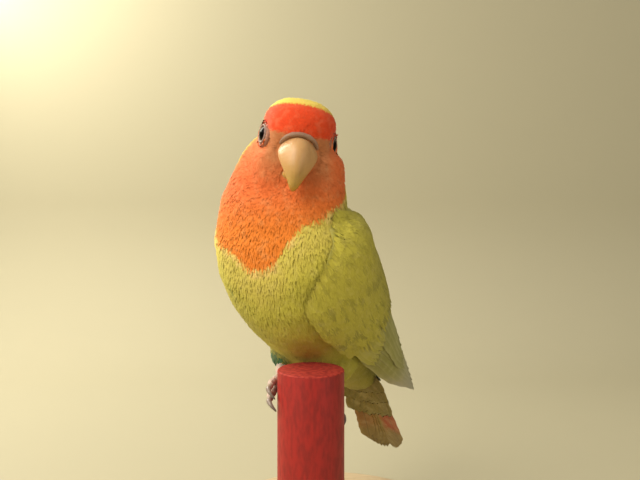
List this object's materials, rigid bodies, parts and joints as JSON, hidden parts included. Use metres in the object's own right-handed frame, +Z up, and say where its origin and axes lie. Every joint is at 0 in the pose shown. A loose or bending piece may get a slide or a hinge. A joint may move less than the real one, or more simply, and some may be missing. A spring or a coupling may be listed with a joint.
{
  "type": "peach-faced lovebird model",
  "caption": "Life-size still model of a peach-faced lovebird gripping the top of a short upright round perch, held on a plain round display base.",
  "frame": {"origin": "centre of the display base's underside", "axes": "+Z up, -Y towards the viewer whom the bird looks at, +X to that viewer's right; the bird's breast points between -X and -Y"},
  "size_m": [0.11, 0.1201, 0.1657],
  "materials": {
    "peach_plumage": "soft matt feathers, red over the forehead and peach on the cheeks",
    "orange_plumage": "soft matt feathers, peach orange",
    "lime_plumage": "soft matt feathers, yellowish green",
    "olive_plumage": "firm vaned feathers, olive green with greyer tips",
    "tail_plumage": "firm vaned feathers, olive brown with an orange red band",
    "bill_horn": "satin horn",
    "cere_skin": "soft bare skin",
    "eye_brown": "wet glossy dark brown",
    "foot_skin": "dry scaly skin",
    "claw_horn": "satin dark horn",
    "perch_red": "red stained wood with worn end grain",
    "stand_wood": "pale lacquered wood",
    "stand_steel": "brushed"
  },
  "bodies": {
    "root": {"head": "peach_plumage", "neck": "orange_plumage", "eye_left": "eye_brown", "eye_right": "eye_brown", "bill_upper": "bill_horn", "bill_lower": "bill_horn", "cere": "cere_skin", "torso": "lime_plumage", "thigh_right": "lime_plumage", "thigh_left": "lime_plumage", "foot_right": "foot_skin", "foot_left": "foot_skin", "wing_left": "olive_plumage", "wing_right": "olive_plumage", "tail": "tail_plumage", "stand_base": "stand_wood", "stand_rod": "stand_steel", "perch": "perch_red", "claw_left_1": "claw_horn", "claw_left_2": "claw_horn", "claw_left_3": "claw_horn", "claw_left_4": "claw_horn", "claw_right_1": "claw_horn", "claw_right_2": "claw_horn", "claw_right_3": "claw_horn", "claw_right_4": "claw_horn"}
  },
  "joints": []
}
